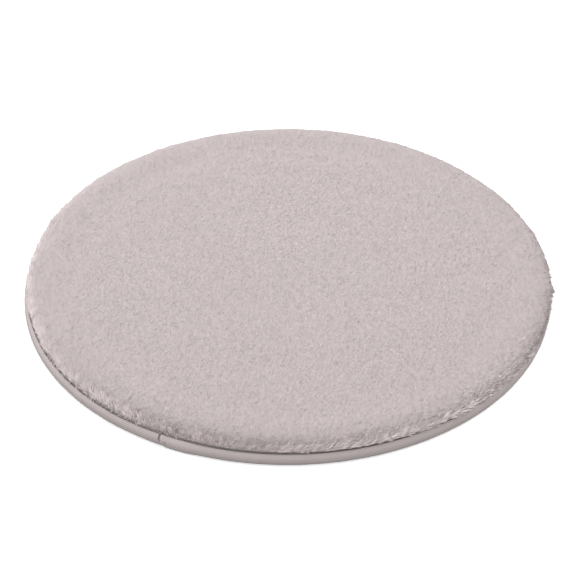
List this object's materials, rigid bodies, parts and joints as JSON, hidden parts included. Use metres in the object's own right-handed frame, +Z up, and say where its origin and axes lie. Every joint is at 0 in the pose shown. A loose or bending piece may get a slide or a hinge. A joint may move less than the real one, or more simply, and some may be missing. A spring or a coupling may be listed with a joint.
{
  "type": "round plush seat pad",
  "caption": "Thin round seat pad with a plush pile top over a foam core, a woven binding tape round its edge and a non-slip base layer.",
  "frame": {"origin": "centre of the underside, on the surface that the pad rests on", "axes": "+Z up through the pad's thickness; the pad is round about Z apart from the binding's lapped join, which is 26.5 degrees from -Y towards -X"},
  "size_m": [0.3998, 0.3998, 0.024],
  "materials": {
    "plush": "short dense faux rabbit fur pile, matte with a soft sheen",
    "binding_tape": "fine woven twill tape, matte",
    "base_cloth": "plain woven polyester cloth, matte",
    "grip_layer": "soft clear-grey non-slip film with raised dots, satin",
    "foam": "open-cell cushion foam, matte",
    "thread": "spun polyester sewing thread"
  },
  "bodies": {
    "root": {"grip_layer": "grip_layer", "base_cloth": "base_cloth", "foam_core": "foam", "plush_top": "plush", "edge_binding": "binding_tape", "needle_thread": "thread", "bobbin_thread": "thread", "join_tack_thread": "thread"}
  },
  "joints": []
}
